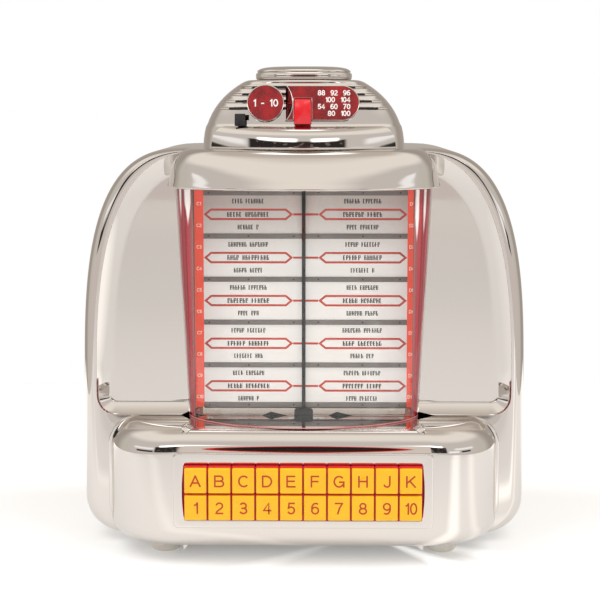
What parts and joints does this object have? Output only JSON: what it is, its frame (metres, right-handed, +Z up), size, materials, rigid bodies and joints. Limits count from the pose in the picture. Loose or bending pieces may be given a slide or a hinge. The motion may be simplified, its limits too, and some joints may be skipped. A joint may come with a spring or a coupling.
{
  "type": "jukebox radio",
  "caption": "Tabletop radio shaped like a diner wall-box jukebox, with a chromed arch body, selection keys, a curved title window, a ribbed crown and rear volume and tuning knobs.",
  "frame": {"origin": "centre of the box at the floor, under the middle of the radio", "axes": "+X right as seen from the front, +Y towards the back, +Z up; the keys face -Y"},
  "size_m": [0.288, 0.17, 0.31],
  "materials": {
    "chrome_plate": "polished",
    "back_plastic": "satin",
    "clear_plastic": "gloss",
    "key_yellow": "gloss",
    "key_red": "gloss",
    "silicone": "matte",
    "board_green": "satin",
    "board_white": "matte",
    "card_paper": "matte",
    "bar_grey": "satin",
    "strip_orange": "matte",
    "rod_black": "gloss",
    "plate_red": "gloss",
    "disc_red": "gloss",
    "button_red": "gloss",
    "black_plastic": "satin",
    "speaker_steel": "satin",
    "speaker_paper": "matte",
    "control_steel": "satin",
    "ferrite": "matte",
    "foot_rubber": "satin"
  },
  "bodies": {
    "chassis": {"body_shell": "chrome_plate", "rear_cover": "back_plastic", "console_shell": "chrome_plate", "key_bezel": "chrome_plate", "key_guide": "key_red", "key_dome_mat": "silicone", "key_circuit_board": "board_green", "title_window": "clear_plastic", "title_board": "board_white", "left_title_page": "card_paper", "right_title_page": "card_paper", "title_frame": "bar_grey", "left_index_strip": "strip_orange", "right_index_strip": "strip_orange", "page_rod": "rod_black", "lamp_board": "board_green", "hood": "chrome_plate", "crown_shell": "chrome_plate", "crown_apron": "chrome_plate", "crown_cap": "chrome_plate", "coin_disc": "disc_red", "dial_plate": "plate_red", "head_switches": "board_green", "left_speaker_frame": "speaker_steel", "right_speaker_frame": "speaker_steel", "left_speaker_cone": "speaker_paper", "right_speaker_cone": "speaker_paper", "main_circuit_board": "board_green", "volume_control": "control_steel", "tuning_capacitor": "control_steel", "power_jack": "black_plastic", "audio_jack": "black_plastic", "antenna_rod": "ferrite", "feet": "foot_rubber", "rear_screws": "control_steel", "inner_screws": "control_steel"},
    "key_a": {"key_a": "key_yellow"},
    "key_b": {"key_b": "key_yellow"},
    "key_c": {"key_c": "key_yellow"},
    "key_d": {"key_d": "key_yellow"},
    "key_e": {"key_e": "key_yellow"},
    "key_f": {"key_f": "key_yellow"},
    "key_g": {"key_g": "key_yellow"},
    "key_h": {"key_h": "key_yellow"},
    "key_j": {"key_j": "key_yellow"},
    "key_k": {"key_k": "key_yellow"},
    "key_1": {"key_1": "key_yellow"},
    "key_2": {"key_2": "key_yellow"},
    "key_3": {"key_3": "key_yellow"},
    "key_4": {"key_4": "key_yellow"},
    "key_5": {"key_5": "key_yellow"},
    "key_6": {"key_6": "key_yellow"},
    "key_7": {"key_7": "key_yellow"},
    "key_8": {"key_8": "key_yellow"},
    "key_9": {"key_9": "key_yellow"},
    "key_10": {"key_10": "key_yellow"},
    "select_button": {"select_button": "button_red"},
    "light_slider": {"light_slider": "black_plastic"},
    "volume_knob": {"volume_knob": "black_plastic"},
    "tuning_knob": {"tuning_knob": "black_plastic"}
  },
  "joints": [
    {"name": "key_a_press", "type": "slide", "parent": "chassis", "child": "key_a", "axis": [0, 1, 0], "range_m": [0, 0.002], "stiffness_N_per_m": 400, "springref_m": -0.001, "deforming": ["key_dome_mat"]},
    {"name": "key_b_press", "type": "slide", "parent": "chassis", "child": "key_b", "axis": [0, 1, 0], "range_m": [0, 0.002], "stiffness_N_per_m": 400, "springref_m": -0.001, "deforming": ["key_dome_mat"]},
    {"name": "key_c_press", "type": "slide", "parent": "chassis", "child": "key_c", "axis": [0, 1, 0], "range_m": [0, 0.002], "stiffness_N_per_m": 400, "springref_m": -0.001, "deforming": ["key_dome_mat"]},
    {"name": "key_d_press", "type": "slide", "parent": "chassis", "child": "key_d", "axis": [0, 1, 0], "range_m": [0, 0.002], "stiffness_N_per_m": 400, "springref_m": -0.001, "deforming": ["key_dome_mat"]},
    {"name": "key_e_press", "type": "slide", "parent": "chassis", "child": "key_e", "axis": [0, 1, 0], "range_m": [0, 0.002], "stiffness_N_per_m": 400, "springref_m": -0.001, "deforming": ["key_dome_mat"]},
    {"name": "key_f_press", "type": "slide", "parent": "chassis", "child": "key_f", "axis": [0, 1, 0], "range_m": [0, 0.002], "stiffness_N_per_m": 400, "springref_m": -0.001, "deforming": ["key_dome_mat"]},
    {"name": "key_g_press", "type": "slide", "parent": "chassis", "child": "key_g", "axis": [0, 1, 0], "range_m": [0, 0.002], "stiffness_N_per_m": 400, "springref_m": -0.001, "deforming": ["key_dome_mat"]},
    {"name": "key_h_press", "type": "slide", "parent": "chassis", "child": "key_h", "axis": [0, 1, 0], "range_m": [0, 0.002], "stiffness_N_per_m": 400, "springref_m": -0.001, "deforming": ["key_dome_mat"]},
    {"name": "key_j_press", "type": "slide", "parent": "chassis", "child": "key_j", "axis": [0, 1, 0], "range_m": [0, 0.002], "stiffness_N_per_m": 400, "springref_m": -0.001, "deforming": ["key_dome_mat"]},
    {"name": "key_k_press", "type": "slide", "parent": "chassis", "child": "key_k", "axis": [0, 1, 0], "range_m": [0, 0.002], "stiffness_N_per_m": 400, "springref_m": -0.001, "deforming": ["key_dome_mat"]},
    {"name": "key_1_press", "type": "slide", "parent": "chassis", "child": "key_1", "axis": [0, 1, 0], "range_m": [0, 0.002], "stiffness_N_per_m": 400, "springref_m": -0.001, "deforming": ["key_dome_mat"]},
    {"name": "key_2_press", "type": "slide", "parent": "chassis", "child": "key_2", "axis": [0, 1, 0], "range_m": [0, 0.002], "stiffness_N_per_m": 400, "springref_m": -0.001, "deforming": ["key_dome_mat"]},
    {"name": "key_3_press", "type": "slide", "parent": "chassis", "child": "key_3", "axis": [0, 1, 0], "range_m": [0, 0.002], "stiffness_N_per_m": 400, "springref_m": -0.001, "deforming": ["key_dome_mat"]},
    {"name": "key_4_press", "type": "slide", "parent": "chassis", "child": "key_4", "axis": [0, 1, 0], "range_m": [0, 0.002], "stiffness_N_per_m": 400, "springref_m": -0.001, "deforming": ["key_dome_mat"]},
    {"name": "key_5_press", "type": "slide", "parent": "chassis", "child": "key_5", "axis": [0, 1, 0], "range_m": [0, 0.002], "stiffness_N_per_m": 400, "springref_m": -0.001, "deforming": ["key_dome_mat"]},
    {"name": "key_6_press", "type": "slide", "parent": "chassis", "child": "key_6", "axis": [0, 1, 0], "range_m": [0, 0.002], "stiffness_N_per_m": 400, "springref_m": -0.001, "deforming": ["key_dome_mat"]},
    {"name": "key_7_press", "type": "slide", "parent": "chassis", "child": "key_7", "axis": [0, 1, 0], "range_m": [0, 0.002], "stiffness_N_per_m": 400, "springref_m": -0.001, "deforming": ["key_dome_mat"]},
    {"name": "key_8_press", "type": "slide", "parent": "chassis", "child": "key_8", "axis": [0, 1, 0], "range_m": [0, 0.002], "stiffness_N_per_m": 400, "springref_m": -0.001, "deforming": ["key_dome_mat"]},
    {"name": "key_9_press", "type": "slide", "parent": "chassis", "child": "key_9", "axis": [0, 1, 0], "range_m": [0, 0.002], "stiffness_N_per_m": 400, "springref_m": -0.001, "deforming": ["key_dome_mat"]},
    {"name": "key_10_press", "type": "slide", "parent": "chassis", "child": "key_10", "axis": [0, 1, 0], "range_m": [0, 0.002], "stiffness_N_per_m": 400, "springref_m": -0.001, "deforming": ["key_dome_mat"]},
    {"name": "select_button_press", "type": "slide", "parent": "chassis", "child": "select_button", "axis": [0, 1, 0], "range_m": [0, 0.002], "stiffness_N_per_m": 400, "springref_m": -0.001},
    {"name": "light_slider_slide", "type": "slide", "parent": "chassis", "child": "light_slider", "axis": [1, 0, 0], "range_m": [0, 0.0025]},
    {"name": "volume_knob_turn", "type": "hinge", "parent": "chassis", "child": "volume_knob", "pos_m": [-0.042, 0.073, 0.05], "axis": [0, 1, 0], "range_deg": [0, 300]},
    {"name": "tuning_knob_turn", "type": "hinge", "parent": "chassis", "child": "tuning_knob", "pos_m": [0.042, 0.073, 0.05], "axis": [0, 1, 0], "range_deg": [0, 180]}
  ]
}
